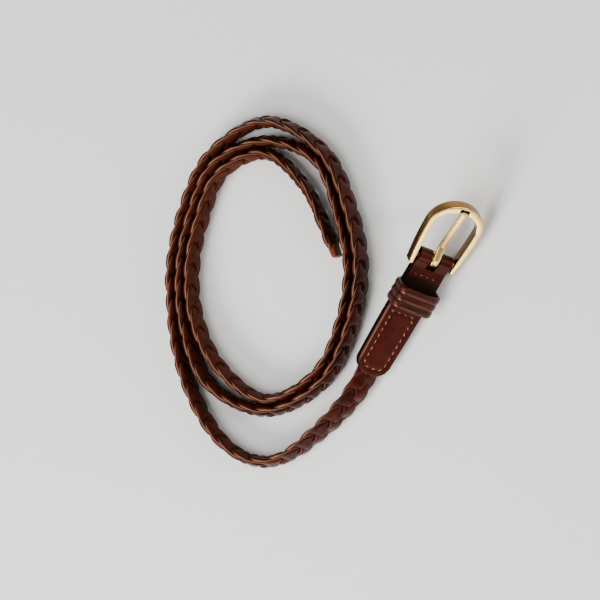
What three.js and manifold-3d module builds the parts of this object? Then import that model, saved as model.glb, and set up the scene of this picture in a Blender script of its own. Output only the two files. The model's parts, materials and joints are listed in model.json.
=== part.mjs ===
import * as THREE from 'three';
import Module from 'manifold-3d';
import { mergeVertices } from 'three/addons/utils/BufferGeometryUtils.js';

// Driving sizes in millimetres. The belt stands on its edge on the ground plane z = 0 and its front
// face looks out of the coil.
const braidWidth = 11.2;
const braidThickness = 4.2;
const laceThickness = 1.2;
const scallopPitch = 10.6;
const scallopDepth = 1.0;
const sectionsPerScallop = 4;
const turnClearance = 0.35;
const coilRadius = 47;
const fitGap = 0.3;

const tabWidth = 16.5;
const tabEndWidth = 15.4;
const tabLength = 60.5;
const tabLeather = 1.9;
const tabSlit = 0.4;
const pocketDepth = 10;
const flatBraidThickness = 1.1;

const keeperLength = 10.5;
const keeperFromBar = 14.2;
const keeperWall = 1.3;
const keeperRib = 0.45;
const keeperRibs = 3;
const tailRoom = 4.4;

const barRadius = 1.6;
const foldLeather = 1.2;
const foldSlack = 0.7;
const frameDepth = 5.2;
const frameInnerHalf = 9.2;
const frameArmEnd = 3.9;
const frameArcCentre = 18.6;
const frameOuterRadius = 13.2;
const frameArcWidth = 3.9;
const frameArcRise = 12.2;
const frameEdge = 0.45;
const notchDepth = 1.2;

const prongWidth = 3.4;
const prongThickness = 1.8;
const slotWidth = prongWidth + 4 * fitGap;

const tipLength = 6.0;
const tipWall = 0.9;
const tipShare = 0.44;

// Where the buckle end lies: the bar's place on the ground plan and how the strap is turned there
const buckleEnd = {
  x: 72.9, y: 18.1, yaw: 34.6, rise: 2, roll: 37, framePitch: 9, frameSkew: 2.8,
};

// The outer turn of the coil, clockwise from its left side: radius as a share of coilRadius, then the
// open space to the second turn and from that to the third, as shares of braidThickness
const coilCentre = { x: -13.4, y: 15.2 };
const coilRows = [
  { degrees: 0, radius: 1.004, toSecond: 0.04, toThird: 0.0 },
  { degrees: 30, radius: 1.017, toSecond: 0.0, toThird: 0.0 },
  { degrees: 60, radius: 1.196, toSecond: 0.05, toThird: 0.08 },
  { degrees: 90, radius: 1.346, toSecond: 0.96, toThird: 0.25 },
  { degrees: 120, radius: 1.223, toSecond: 0.08, toThird: 2.05 },
  { degrees: 150, radius: 1.03, toSecond: 0.2, toThird: 1.1 },
  { degrees: 180, radius: 1.0, toSecond: 0.1, toThird: 0.08 },
  { degrees: 210, radius: 1.057, toSecond: 0.1, toThird: 0.0 },
  { degrees: 240, radius: 1.245, toSecond: 0.14, toThird: 0.0 },
  { degrees: 270, radius: 1.362, toSecond: 0.06, toThird: 0.0 },
  { degrees: 300, radius: 1.264, toSecond: 1.12, toThird: 0.0 },
  { degrees: 330, radius: 1.015, toSecond: 0.25, toThird: 0.0 },
];
const tailDegrees = 889;
const leanStart = 790;
const tailLean = 15;

// From the coil's left side down and round to the tab: plan position as shares of coilRadius, roll of
// the band in degrees and how much of the tab's lift it has
const runOutRows = [
  { x: -1.287, y: 0.0, roll: 0, lift: 0 },
  { x: -1.247, y: -0.372, roll: 0, lift: 0 },
  { x: -1.149, y: -0.723, roll: 0, lift: 0 },
  { x: -0.991, y: -1.047, roll: 0, lift: 0 },
  { x: -0.789, y: -1.302, roll: 0, lift: 0 },
  { x: -0.538, y: -1.468, roll: 0, lift: 0 },
  { x: -0.285, y: -1.515, roll: 2, lift: 0 },
  { x: -0.032, y: -1.443, roll: 8, lift: 0.05 },
  { x: 0.211, y: -1.287, roll: 16, lift: 0.2 },
  { x: 0.464, y: -1.089, roll: 25, lift: 0.45 },
  { x: 0.666, y: -0.887, roll: 32, lift: 0.75 },
];

const wasm = await Module();
wasm.setup();

const radians = THREE.MathUtils.degToRad;

function material(name, colour, roughness, metalness) {
  const made = new THREE.MeshStandardMaterial({ color: colour, roughness, metalness });
  made.name = name;
  return made;
}

function meshOf(name, geometry, colour, roughness, metalness) {
  geometry.computeVertexNormals();
  const mesh = new THREE.Mesh(geometry, material(name, colour, roughness, metalness));
  mesh.name = name;
  return mesh;
}

function signedVolume(geometry) {
  const position = geometry.getAttribute('position');
  const index = geometry.index.array;
  const a = new THREE.Vector3();
  const b = new THREE.Vector3();
  const c = new THREE.Vector3();
  let sum = 0;
  for (let i = 0; i < index.length; i += 3) {
    a.fromBufferAttribute(position, index[i]);
    b.fromBufferAttribute(position, index[i + 1]);
    c.fromBufferAttribute(position, index[i + 2]);
    sum += a.dot(b.cross(c));
  }
  return sum / 6;
}

function facingOut(geometry) {
  if (signedVolume(geometry) < 0) {
    const index = geometry.index.array;
    for (let i = 0; i < index.length; i += 3) {
      const kept = index[i + 1];
      index[i + 1] = index[i + 2];
      index[i + 2] = kept;
    }
  }
  return geometry;
}

// A body through rings of equal length: capped at both ends, or closed on itself
function loft(rings, closed) {
  const count = rings[0].length;
  const positions = rings.flat().flatMap((p) => [p.x, p.y, p.z]);
  const indices = [];
  const bands = closed ? rings.length : rings.length - 1;
  for (let i = 0; i < bands; i += 1) {
    const next = (i + 1) % rings.length;
    for (let j = 0; j < count; j += 1) {
      const k = (j + 1) % count;
      indices.push(i * count + j, i * count + k, next * count + k);
      indices.push(i * count + j, next * count + k, next * count + j);
    }
  }
  if (!closed) {
    const last = (rings.length - 1) * count;
    for (let j = 1; j < count - 1; j += 1) {
      indices.push(0, j + 1, j);
      indices.push(last, last + j, last + j + 1);
    }
  }
  const geometry = new THREE.BufferGeometry();
  geometry.setAttribute('position', new THREE.Float32BufferAttribute(positions, 3));
  geometry.setIndex(indices);
  return facingOut(geometry);
}

function toManifold(geometry) {
  const bare = geometry.clone();
  bare.deleteAttribute('normal');
  bare.deleteAttribute('uv');
  const merged = facingOut(mergeVertices(bare, 1e-4));
  return new wasm.Manifold(new wasm.Mesh({
    numProp: 3,
    vertProperties: new Float32Array(merged.getAttribute('position').array),
    triVerts: new Uint32Array(merged.index.array),
  }));
}

function fromManifold(solid) {
  const mesh = solid.getMesh();
  const geometry = new THREE.BufferGeometry();
  geometry.setAttribute('position', new THREE.BufferAttribute(new Float32Array(mesh.vertProperties), 3));
  geometry.setIndex(Array.from(mesh.triVerts));
  return geometry;
}

// Extrudes a shape drawn in two named axes along the third, centred on it
function slab(shape, thickness, axes, bevel = 0) {
  const geometry = new THREE.ExtrudeGeometry(shape, {
    depth: thickness - 2 * bevel,
    bevelEnabled: bevel > 0,
    bevelThickness: bevel,
    bevelSize: bevel,
    bevelOffset: -bevel,
    bevelSegments: 2,
    curveSegments: 12,
  });
  geometry.translate(0, 0, -thickness / 2 + bevel);
  const turn = new THREE.Matrix4().makeBasis(...axes);
  return geometry.applyMatrix4(turn);
}

// The buckle end is drawn flat about the bar: x to the right edge, y from the strap to the arc, z out of
// the front face
const across = new THREE.Vector3(1, 0, 0);
const along = new THREE.Vector3(0, 1, 0);
const outward = new THREE.Vector3(0, 0, 1);
const planAxes = [across, along, outward];
const sideAxes = [along, outward, across];

const foldRadius = barRadius + foldSlack + foldLeather;
const tabThickness = 2 * tabLeather + tabSlit;

function tabSideShape() {
  const half = tabThickness / 2;
  const pocket = flatBraidThickness / 2 + fitGap;
  const hole = barRadius + foldSlack;
  const shape = new THREE.Shape();
  const openAngle = radians(128);
  const shoulder = -2.6 * foldRadius;
  shape.moveTo(-tabLength, -half);
  shape.lineTo(shoulder, -half);
  shape.quadraticCurveTo(
    -1.35 * foldRadius, -half,
    foldRadius * Math.cos(openAngle), -foldRadius * Math.sin(openAngle),
  );
  shape.absarc(0, 0, foldRadius, -openAngle, openAngle, false);
  shape.quadraticCurveTo(-1.35 * foldRadius, half, shoulder, half);
  shape.lineTo(-tabLength, half);
  shape.lineTo(-tabLength, pocket);
  shape.lineTo(-tabLength + pocketDepth, pocket);
  shape.lineTo(-tabLength + pocketDepth + pocket, tabSlit / 2);
  const meet = Math.PI - Math.asin(tabSlit / 2 / hole);
  shape.lineTo(hole * Math.cos(meet), tabSlit / 2);
  shape.absarc(0, 0, hole, meet, -meet, true);
  shape.lineTo(-tabLength + pocketDepth + pocket, -tabSlit / 2);
  shape.lineTo(-tabLength + pocketDepth, -pocket);
  shape.lineTo(-tabLength, -pocket);
  shape.closePath();
  return shape;
}

function tabPlanShape() {
  const half = tabWidth / 2;
  const endHalf = tabEndWidth / 2;
  const corner = 0.3 * tabEndWidth;
  const shape = new THREE.Shape();
  shape.moveTo(-half, 2 * foldRadius);
  shape.lineTo(-half, -tabLength / 2);
  shape.lineTo(-endHalf, -tabLength + corner);
  shape.quadraticCurveTo(-endHalf, -tabLength + 0.3 * corner, -endHalf + corner, -tabLength);
  shape.lineTo(endHalf - corner, -tabLength);
  shape.quadraticCurveTo(endHalf, -tabLength + 0.3 * corner, endHalf, -tabLength + corner);
  shape.lineTo(half, -tabLength / 2);
  shape.lineTo(half, 2 * foldRadius);
  shape.closePath();
  return shape;
}

function slotPlanShape() {
  const half = slotWidth / 2;
  const end = -1.5 * foldRadius;
  const shape = new THREE.Shape();
  shape.moveTo(-half, 2 * foldRadius);
  shape.lineTo(-half, end + half);
  shape.absarc(0, end + half, half, Math.PI, 2 * Math.PI, false);
  shape.lineTo(half, 2 * foldRadius);
  shape.closePath();
  return shape;
}

function buildTab() {
  const strip = toManifold(slab(tabSideShape(), 2 * tabWidth, sideAxes));
  const outline = toManifold(slab(tabPlanShape(), 4 * foldRadius, planAxes));
  const slot = toManifold(slab(slotPlanShape(), 5 * foldRadius, planAxes));
  return fromManifold(strip.intersect(outline).subtract(slot));
}

// Outline of the keeper's hole, grown by a distance: the tab below and the room for the tail above it
function keeperRing(y, grow) {
  const halfAcross = tabWidth / 2 + fitGap;
  const low = -tabThickness / 2 - fitGap;
  const high = tabThickness / 2 + tailRoom;
  const corner = 1.5 * fitGap;
  const points = [];
  const corners = [
    [halfAcross - corner, high - corner, 0],
    [-halfAcross + corner, high - corner, 90],
    [-halfAcross + corner, low + corner, 180],
    [halfAcross - corner, low + corner, 270],
  ];
  for (const [cx, cz, start] of corners) {
    for (let step = 0; step <= 4; step += 1) {
      const angle = radians(start + step * 22.5);
      const radius = corner + grow;
      points.push(new THREE.Vector3(cx + radius * Math.cos(angle), y, cz + radius * Math.sin(angle)));
    }
  }
  return points;
}

function buildKeeper() {
  const near = -keeperFromBar;
  const ribPitch = keeperLength / keeperRibs;
  const rings = [keeperRing(near, 0), keeperRing(near - keeperLength, 0)];
  for (let rib = keeperRibs - 1; rib >= 0; rib -= 1) {
    const start = near - rib * ribPitch;
    rings.push(keeperRing(start - ribPitch, keeperWall));
    rings.push(keeperRing(start - 0.8 * ribPitch, keeperWall + keeperRib));
    rings.push(keeperRing(start - 0.5 * ribPitch, keeperWall + 1.3 * keeperRib));
    rings.push(keeperRing(start - 0.2 * ribPitch, keeperWall + keeperRib));
  }
  rings.push(keeperRing(near, keeperWall));
  return loft(rings, true);
}

// How far the prong's tip reaches over the arc
const prongReach = frameArcCentre + frameArcRise - 0.48 * frameArcWidth;

function frameOutline(target, arcRadius, rise, armHalf, end) {
  target.moveTo(-armHalf, end);
  target.quadraticCurveTo(-arcRadius, 0.45 * frameArcCentre, -arcRadius, frameArcCentre);
  target.absellipse(0, frameArcCentre, arcRadius, rise, Math.PI, 0, true);
  target.quadraticCurveTo(arcRadius, 0.45 * frameArcCentre, armHalf, end);
}

function frameShape() {
  const innerRadius = frameOuterRadius - 0.75 * frameArcWidth;
  const outerArmHalf = frameInnerHalf + 0.5 * frameArcWidth;
  const shape = new THREE.Shape();
  frameOutline(shape, frameOuterRadius, frameArcRise, outerArmHalf, -frameArmEnd);
  const inner = new THREE.Path();
  frameOutline(inner, innerRadius, frameArcRise - frameArcWidth, frameInnerHalf, -frameArmEnd);
  for (const p of inner.getPoints(12).reverse()) {
    shape.lineTo(p.x, p.y);
  }
  shape.closePath();
  return shape;
}

function buildFrame() {
  const body = toManifold(slab(frameShape(), frameDepth, planAxes, frameEdge));
  const reach = frameInnerHalf + 0.25 * frameArcWidth;
  const barGeometry = new THREE.CylinderGeometry(barRadius, barRadius, 2 * reach, 20);
  barGeometry.rotateZ(Math.PI / 2);
  const notchStart = frameArcCentre + frameArcRise - 1.3 * frameArcWidth;
  const notchLength = prongReach + fitGap - notchStart;
  const notchGeometry = new THREE.BoxGeometry(prongWidth + 4 * fitGap, notchLength, frameDepth);
  notchGeometry.translate(0, notchStart + 0.5 * notchLength, frameDepth - notchDepth);
  return fromManifold(body.add(toManifold(barGeometry)).subtract(toManifold(notchGeometry)));
}

// Side view of the prong: an eye round the bar, then a shank that ends in the frame's notch
function prongSideShape() {
  const eye = barRadius + fitGap;
  const outer = eye + prongThickness;
  const tipY = prongReach;
  const seat = frameDepth / 2 - notchDepth + fitGap;
  const bendY = 2.6 * foldRadius;
  const shape = new THREE.Shape();
  shape.absarc(0, 0, outer, Math.PI / 2, 1.9 * Math.PI, false);
  shape.quadraticCurveTo(outer + 1, 0.2 * outer, bendY, outer - prongThickness);
  shape.lineTo(tipY - prongThickness, seat);
  shape.quadraticCurveTo(tipY, seat, tipY, seat + 0.5 * prongThickness);
  shape.quadraticCurveTo(tipY, seat + prongThickness, tipY - prongThickness, seat + prongThickness);
  shape.lineTo(bendY, outer + 0.1);
  shape.quadraticCurveTo(0.5 * bendY, outer + 0.45, 0, outer);
  const hole = new THREE.Path();
  hole.absarc(0, 0, eye, 0, 2 * Math.PI, true);
  shape.holes.push(hole);
  return shape;
}

function buildProng() {
  return slab(prongSideShape(), prongWidth, sideAxes, 0.3);
}

// Frame of the buckle end in the shared space: columns are its own x, y and z
function buckleEndMatrix() {
  const yaw = radians(buckleEnd.yaw);
  const rise = radians(buckleEnd.rise);
  const roll = radians(buckleEnd.roll);
  const u = new THREE.Vector3(
    Math.sin(yaw) * Math.cos(rise),
    Math.cos(yaw) * Math.cos(rise),
    Math.sin(rise),
  );
  const side = new THREE.Vector3(Math.cos(yaw), -Math.sin(yaw), 0);
  const up = new THREE.Vector3().crossVectors(side, u);
  const n = side.clone().multiplyScalar(Math.cos(roll)).addScaledVector(up, Math.sin(roll));
  const x = new THREE.Vector3().crossVectors(u, n);
  const matrix = new THREE.Matrix4().makeBasis(x, u, n);
  matrix.setPosition(buckleEnd.x, buckleEnd.y, 0);
  return matrix;
}

function lowestZ(geometries) {
  let lowest = Infinity;
  for (const geometry of geometries) {
    geometry.computeBoundingBox();
    lowest = Math.min(lowest, geometry.boundingBox.min.z);
  }
  return lowest;
}

function restHeight(roll) {
  const angle = radians(roll);
  return 0.5 * braidWidth * Math.cos(angle) + 0.5 * braidThickness * Math.abs(Math.sin(angle));
}

function coilKnots() {
  const turnPitch = braidThickness + turnClearance;
  const knots = [];
  for (let turn = 0; turn < 3; turn += 1) {
    for (const row of coilRows) {
      const degrees = row.degrees + 360 * turn;
      if (degrees <= tailDegrees + 20) {
        let radius = row.radius * coilRadius;
        if (turn > 0) {
          radius -= turnPitch + row.toSecond * braidThickness;
        }
        if (turn > 1) {
          radius -= turnPitch + row.toThird * braidThickness;
        }
        knots.push({ degrees, radius });
      }
    }
  }
  return knots.reverse().map(({ degrees, radius }) => {
    const angle = radians(degrees);
    const x = coilCentre.x - radius * Math.cos(angle);
    const y = coilCentre.y + radius * Math.sin(angle);
    return { degrees, place: new THREE.Vector3(x, y, 0) };
  });
}

// The tail's last stretch leans outwards most in its middle
function leanAt(degrees) {
  const share = THREE.MathUtils.clamp((degrees - leanStart) / (tailDegrees - leanStart), 0, 1);
  return Math.sin(Math.PI * share) ** 2;
}

// The strap's path from the tail to the pocket of the tab, with the roll and lift that go with it
function strapPath(matrix) {
  const tabEnd = new THREE.Vector3(0, -tabLength, 0).applyMatrix4(matrix);
  const before = new THREE.Vector3(0, -tabLength - 5, 0).applyMatrix4(matrix);
  const inside = new THREE.Vector3(0, -tabLength + pocketDepth - fitGap, 0).applyMatrix4(matrix);
  const coil = coilKnots();
  const tabLift = tabEnd.z - restHeight(buckleEnd.roll);
  const points = coil.map(({ place }) => place);
  const states = coil.map(({ degrees }) => ({ roll: -tailLean * leanAt(degrees), lift: 0 }));
  for (const row of runOutRows) {
    points.push(new THREE.Vector3(row.x * coilRadius, row.y * coilRadius, 0));
    states.push({ roll: row.roll, lift: row.lift * tabLift });
  }
  for (const place of [before, tabEnd, inside]) {
    points.push(new THREE.Vector3(place.x, place.y, 0));
    states.push({ roll: buckleEnd.roll, lift: place.z - restHeight(buckleEnd.roll) });
  }
  const curve = new THREE.CatmullRomCurve3(points, false, 'centripetal');
  curve.arcLengthDivisions = 4000;
  curve.updateArcLengths();
  return { curve, states, points };
}

function blendStates(states, t) {
  const place = t * (states.length - 1);
  const low = Math.min(Math.floor(place), states.length - 2);
  const f = place - low;
  const a = states[low];
  const b = states[low + 1];
  return { roll: a.roll + (b.roll - a.roll) * f, lift: a.lift + (b.lift - a.lift) * f };
}

// Local axes of the band at a share of its length: u along, w to the upper edge, n out of the front
function bandFrame(path, share) {
  const t = path.curve.getUtoTmapping(share);
  const state = blendStates(path.states, t);
  const flat = path.curve.getTangent(t).setZ(0).normalize();
  const centre = path.curve.getPoint(t);
  centre.z = restHeight(state.roll) + state.lift;
  const out = new THREE.Vector3(flat.y, -flat.x, 0);
  const roll = radians(state.roll);
  const n = out.clone().multiplyScalar(Math.cos(roll)).add(new THREE.Vector3(0, 0, Math.sin(roll)));
  const w = new THREE.Vector3().crossVectors(n, flat).normalize();
  return { centre, u: flat, w, n };
}

function bandSection(frame, upper, lower, half, edge) {
  const lobe = 0.8;
  const dip = 0.92;
  const outline = [
    [upper, -edge], [upper, edge],
    [lobe * upper, half], [0, dip * half], [-lobe * lower, half],
    [-lower, edge], [-lower, -edge],
    [-lobe * lower, -half], [0, -dip * half], [lobe * upper, -half],
  ];
  return outline.map(([w, n]) => frame.centre.clone()
    .addScaledVector(frame.w, w).addScaledVector(frame.n, n));
}

function buildBraid(path) {
  const length = path.curve.getLength();
  const startShare = tailShare(path);
  const start = startShare * length;
  const run = length - start;
  const flatLength = pocketDepth + 1.5 * braidThickness;
  const step = scallopPitch / sectionsPerScallop;
  const count = Math.round(run / step);
  const rings = [];
  for (let i = 0; i <= count; i += 1) {
    const distance = (i / count) * run;
    const frame = bandFrame(path, (start + distance) / length);
    const phase = 2 * Math.PI * ((distance / run) * (count / sectionsPerScallop) + 0.125);
    const wave = 0.5 * scallopDepth;
    const full = 0.5 * braidWidth;
    let upper = full - wave + wave * Math.SQRT2 * Math.cos(phase) * 0.999;
    let lower = full - wave - wave * Math.SQRT2 * Math.cos(phase) * 0.999;
    let half = 0.5 * braidThickness;
    let edge = 0.8 * laceThickness;
    const tail = THREE.MathUtils.clamp((distance - 0.5 * tipLength) / (0.5 * tipLength), 0, 1);
    const nearTab = THREE.MathUtils.clamp((run - distance - pocketDepth) / (flatLength - pocketDepth), 0, 1);
    const flat = Math.min(tail, nearTab);
    half = THREE.MathUtils.lerp(0.5 * flatBraidThickness, half, flat);
    edge = Math.min(edge, 0.7 * half);
    if (tail < 1) {
      upper *= THREE.MathUtils.lerp(tipShare, 1, tail);
      lower *= THREE.MathUtils.lerp(tipShare, 1, tail);
    }
    rings.push(bandSection(frame, upper, lower, half, edge));
  }
  return loft(rings, false);
}

// The share of the whole curve at which the strap's tail ends
function tailShare(path) {
  const angle = radians(tailDegrees);
  let best = 0;
  let bestTurn = Infinity;
  for (let i = 0; i <= 200; i += 1) {
    const share = (i / 200) * 0.08;
    const p = path.curve.getPointAt(share);
    const here = Math.atan2(p.y - coilCentre.y, coilCentre.x - p.x);
    const turned = Math.abs(Math.atan2(Math.sin(here - angle), Math.cos(here - angle)));
    if (turned < bestTurn) {
      bestTurn = turned;
      best = share;
    }
  }
  return best;
}

function tipRing(frame, upper, half) {
  const points = [];
  for (let step = 0; step < 16; step += 1) {
    const angle = (step / 16) * 2 * Math.PI;
    const round = (v) => Math.sign(v) * Math.abs(v) ** 0.6;
    points.push(frame.centre.clone()
      .addScaledVector(frame.w, upper * round(Math.cos(angle)))
      .addScaledVector(frame.n, half * round(Math.sin(angle))));
  }
  return points;
}

// Leather end closed over the laces: a sleeve with a solid blunt end past the last of the braid
function buildTailTip(path) {
  const length = path.curve.getLength();
  const start = tailShare(path);
  const frame = bandFrame(path, start);
  const pocketHalf = 0.5 * flatBraidThickness + fitGap;
  const pocketUpper = 0.5 * tipShare * braidWidth + fitGap;
  const at = (distance, upper, half) => {
    const place = bandFrame(path, start + Math.max(distance, 0) / length);
    const centre = place.centre.clone();
    if (distance < 0) {
      centre.addScaledVector(frame.u, distance);
    }
    return tipRing({ centre, w: place.w, n: place.n }, upper, half);
  };
  const outerUpper = pocketUpper + tipWall;
  const outerHalf = pocketHalf + tipWall;
  const mouth = 0.45 * tipLength;
  const end = mouth - tipLength;
  const outside = toManifold(loft([
    at(mouth, outerUpper, outerHalf),
    at(end + tipWall, outerUpper, outerHalf),
    at(end + 0.33 * tipWall, 0.93 * outerUpper, 0.86 * outerHalf),
    at(end, 0.8 * outerUpper, 0.6 * outerHalf),
  ], false));
  const inside = toManifold(loft([
    at(mouth + 1, pocketUpper, pocketHalf),
    at(-fitGap, pocketUpper, pocketHalf),
  ], false));
  return fromManifold(outside.subtract(inside));
}

// Moves every piece so that the middle of the whole part's plan is at x = 0, y = 0
function centredOnPlan(group) {
  const middle = new THREE.Box3().setFromObject(group).getCenter(new THREE.Vector3());
  for (const mesh of group.children) {
    mesh.geometry.translate(-middle.x, -middle.y, 0);
  }
  return group;
}

function buildPart() {
  const group = new THREE.Group();
  group.name = 'braided_belt';
  const matrix = buckleEndMatrix();
  const pitch = new THREE.Matrix4().makeRotationZ(radians(buckleEnd.frameSkew));
  pitch.multiply(new THREE.Matrix4().makeRotationX(radians(buckleEnd.framePitch)));
  const parts = {
    tab: buildTab(),
    keeper: buildKeeper(),
    frame: buildFrame().applyMatrix4(pitch),
    prong: buildProng().applyMatrix4(pitch),
  };
  for (const geometry of Object.values(parts)) {
    geometry.applyMatrix4(matrix);
  }
  const lift = -lowestZ(Object.values(parts));
  for (const geometry of Object.values(parts)) {
    geometry.translate(0, 0, lift);
  }
  matrix.setPosition(buckleEnd.x, buckleEnd.y, lift);
  const path = strapPath(matrix);
  group.add(meshOf('braid', buildBraid(path), 0x56200f, 0.42, 0));
  group.add(meshOf('tail_tip', buildTailTip(path), 0x6a3012, 0.45, 0));
  group.add(meshOf('buckle_tab', parts.tab, 0x561207, 0.3, 0));
  group.add(meshOf('keeper', parts.keeper, 0x561207, 0.3, 0));
  group.add(meshOf('buckle_frame', parts.frame, 0xe6d3a0, 0.28, 1));
  group.add(meshOf('prong', parts.prong, 0xe0cc9a, 0.28, 1));
  return centredOnPlan(group);
}

export default buildPart();
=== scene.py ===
import bmesh
import bpy
import json
import math
from mathutils import Matrix, Vector


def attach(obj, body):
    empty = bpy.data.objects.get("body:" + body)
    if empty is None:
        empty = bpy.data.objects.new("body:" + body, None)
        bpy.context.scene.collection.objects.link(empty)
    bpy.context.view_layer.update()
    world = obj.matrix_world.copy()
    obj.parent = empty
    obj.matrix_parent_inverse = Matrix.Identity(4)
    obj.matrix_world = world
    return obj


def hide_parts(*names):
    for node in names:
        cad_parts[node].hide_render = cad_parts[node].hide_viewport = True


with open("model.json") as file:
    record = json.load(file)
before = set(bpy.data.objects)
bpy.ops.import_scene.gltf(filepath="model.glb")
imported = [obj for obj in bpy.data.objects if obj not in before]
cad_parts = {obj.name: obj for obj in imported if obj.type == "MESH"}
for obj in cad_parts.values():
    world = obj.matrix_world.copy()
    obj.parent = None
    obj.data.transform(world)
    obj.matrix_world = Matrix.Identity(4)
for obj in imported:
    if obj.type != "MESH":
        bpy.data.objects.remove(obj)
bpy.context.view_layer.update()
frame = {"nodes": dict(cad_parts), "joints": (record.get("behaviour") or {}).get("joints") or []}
mm = 0.001
print("frame loaded:", ", ".join(sorted(frame["nodes"])))


# Node trees: one wrapper for shader and geometry trees
class Wire:
    def __init__(self, bench, socket):
        self.bench = bench
        self.socket = socket

    def math(self, operation, *others):
        return self.bench.add("ShaderNodeMath", {"operation": operation}, [self, *others])

    def __add__(self, other):
        return self.math("ADD", other)

    def __sub__(self, other):
        return self.math("SUBTRACT", other)

    def __mul__(self, other):
        return self.math("MULTIPLY", other)

    def __truediv__(self, other):
        return self.math("DIVIDE", other)

    def __pow__(self, other):
        return self.math("POWER", other)

    def __neg__(self):
        return self.math("MULTIPLY", -1.0)

    def __rsub__(self, other):
        return self.bench.add("ShaderNodeMath", {"operation": "SUBTRACT"}, [other, self])

    __radd__ = __add__
    __rmul__ = __mul__

    def other(self, name):
        # another output of the same node
        return Wire(self.bench, self.socket.node.outputs[name])

    def above(self, low, high):
        # 0 below low, 1 above high, smooth between
        values = {"Value": self, "From Min": low, "From Max": high}
        return self.bench.add("ShaderNodeMapRange", {"interpolation_type": "SMOOTHSTEP"}, values)

    def vector(self, operation, other=None, scale=None):
        values = {0: self}
        if other is not None:
            values[1] = other
        if scale is not None:
            values["Scale"] = scale
        return self.bench.add("ShaderNodeVectorMath", {"operation": operation}, values)


class Bench:
    def __init__(self, tree):
        self.tree = tree

    def add(self, kind, settings=None, values=None, output=0):
        node = self.tree.nodes.new(kind)
        for name, value in (settings or {}).items():
            if name == "stops":
                self.setStops(node.color_ramp, value)
            else:
                setattr(node, name, value)
        pairs = values.items() if isinstance(values, dict) else enumerate(values or [])
        for key, value in pairs:
            socket = node.inputs[key]
            if isinstance(value, Wire):
                self.tree.links.new(value.socket, socket)
            else:
                socket.default_value = value
        return Wire(self, node.outputs[output])

    def setStops(self, ramp, stops):
        while len(ramp.elements) < len(stops):
            ramp.elements.new(0.5)
        for element, (place, colour) in zip(ramp.elements, stops):
            element.position = place
            element.color = colour

    def mixColour(self, share, first, second, blend="MIX"):
        settings = {"data_type": "RGBA", "blend_type": blend}
        return self.add("ShaderNodeMix", settings, {0: share, 6: first, 7: second}, output=2)

    def attribute(self, name, output="Fac"):
        return self.add("ShaderNodeAttribute", {"attribute_name": name}, output=output)


def paint(red, green, blue):
    # a colour given by its screen values, 0 to 255
    def linear(value):
        share = value / 255
        return share / 12.92 if share <= 0.04045 else ((share + 0.055) / 1.055) ** 2.4
    return (linear(red), linear(green), linear(blue), 1.0)


def newMaterial(name, constants):
    made = bpy.data.materials.new(name)
    made.use_nodes = True
    shader = made.node_tree.nodes["Principled BSDF"]
    for socket, value in constants.items():
        shader.inputs[socket].default_value = value
    return made, Bench(made.node_tree), shader


def connect(bench, wire, shader, socket):
    bench.tree.links.new(wire.socket, shader.inputs[socket])


def noise(bench, place, scale, detail=2.0):
    return bench.add("ShaderNodeTexNoise", {}, {"Vector": place, "Scale": scale, "Detail": detail})


def bump(bench, shader, height, strength, distance):
    values = {"Strength": strength, "Distance": distance, "Height": height}
    connect(bench, bench.add("ShaderNodeBump", {}, values), shader, "Normal")


# Leather and metal: the sheen colour keeps the leather's reflections warm
sheen = (1.0, 0.5, 0.36, 1.0)
# painted highlight colour for the tab's left front edge
paintedHighlightColour = paint(128, 84, 70)
lacePaint = {
    "grain": paint(58, 11, 4), "grainDark": paint(28, 4, 2), "flesh": paint(68, 22, 6),
    "fleshDark": paint(32, 9, 3), "cut": paint(138, 100, 78), "cutShade": paint(42, 14, 6),
    "grainRough": 0.3, "fleshRough": 0.62,
    # where one look gives way to the next: the back to the grain, the face to the cut edge, and the
    # painted shade on the cut edges inside the plait to the pale ones along its outline
    "sideBlend": (-0.25, 0.35), "cutBlend": (0.974, 1.0), "outlineBlend": (0.5, 0.78),
}


def makeLaceLeather():
    look = lacePaint
    material, bench, shader = newMaterial("laceLeather", {"IOR": 1.3, "Specular Tint": sheen})
    place = bench.attribute("laceMap", "Vector")
    onGrain = bench.attribute("grainSide").above(*look["sideBlend"])
    onCut = bench.attribute("cutEdge").above(*look["cutBlend"])
    onOutline = bench.attribute("edgeReach").above(*look["outlineBlend"])
    streaks = noise(bench, place, 1.0, 4.0)
    mottle = noise(bench, place, 0.31)
    grain = bench.mixColour(mottle.above(0.3, 0.7), look["grainDark"], look["grain"])
    back = bench.mixColour(streaks.above(0.35, 0.75), look["flesh"], look["fleshDark"])
    face = bench.mixColour(onGrain, back, grain)
    # painted shade: cut edges inside the plait dark, those on its outline pale
    cut = bench.mixColour(onOutline, look["cutShade"], look["cut"])
    connect(bench, bench.mixColour(onCut, face, cut), shader, "Base Color")
    smoothing = look["fleshRough"] - look["grainRough"]
    connect(bench, look["fleshRough"] - smoothing * onGrain + 0.1 * streaks, shader, "Roughness")
    bump(bench, shader, streaks, 0.35, 0.0001)
    return material


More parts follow.
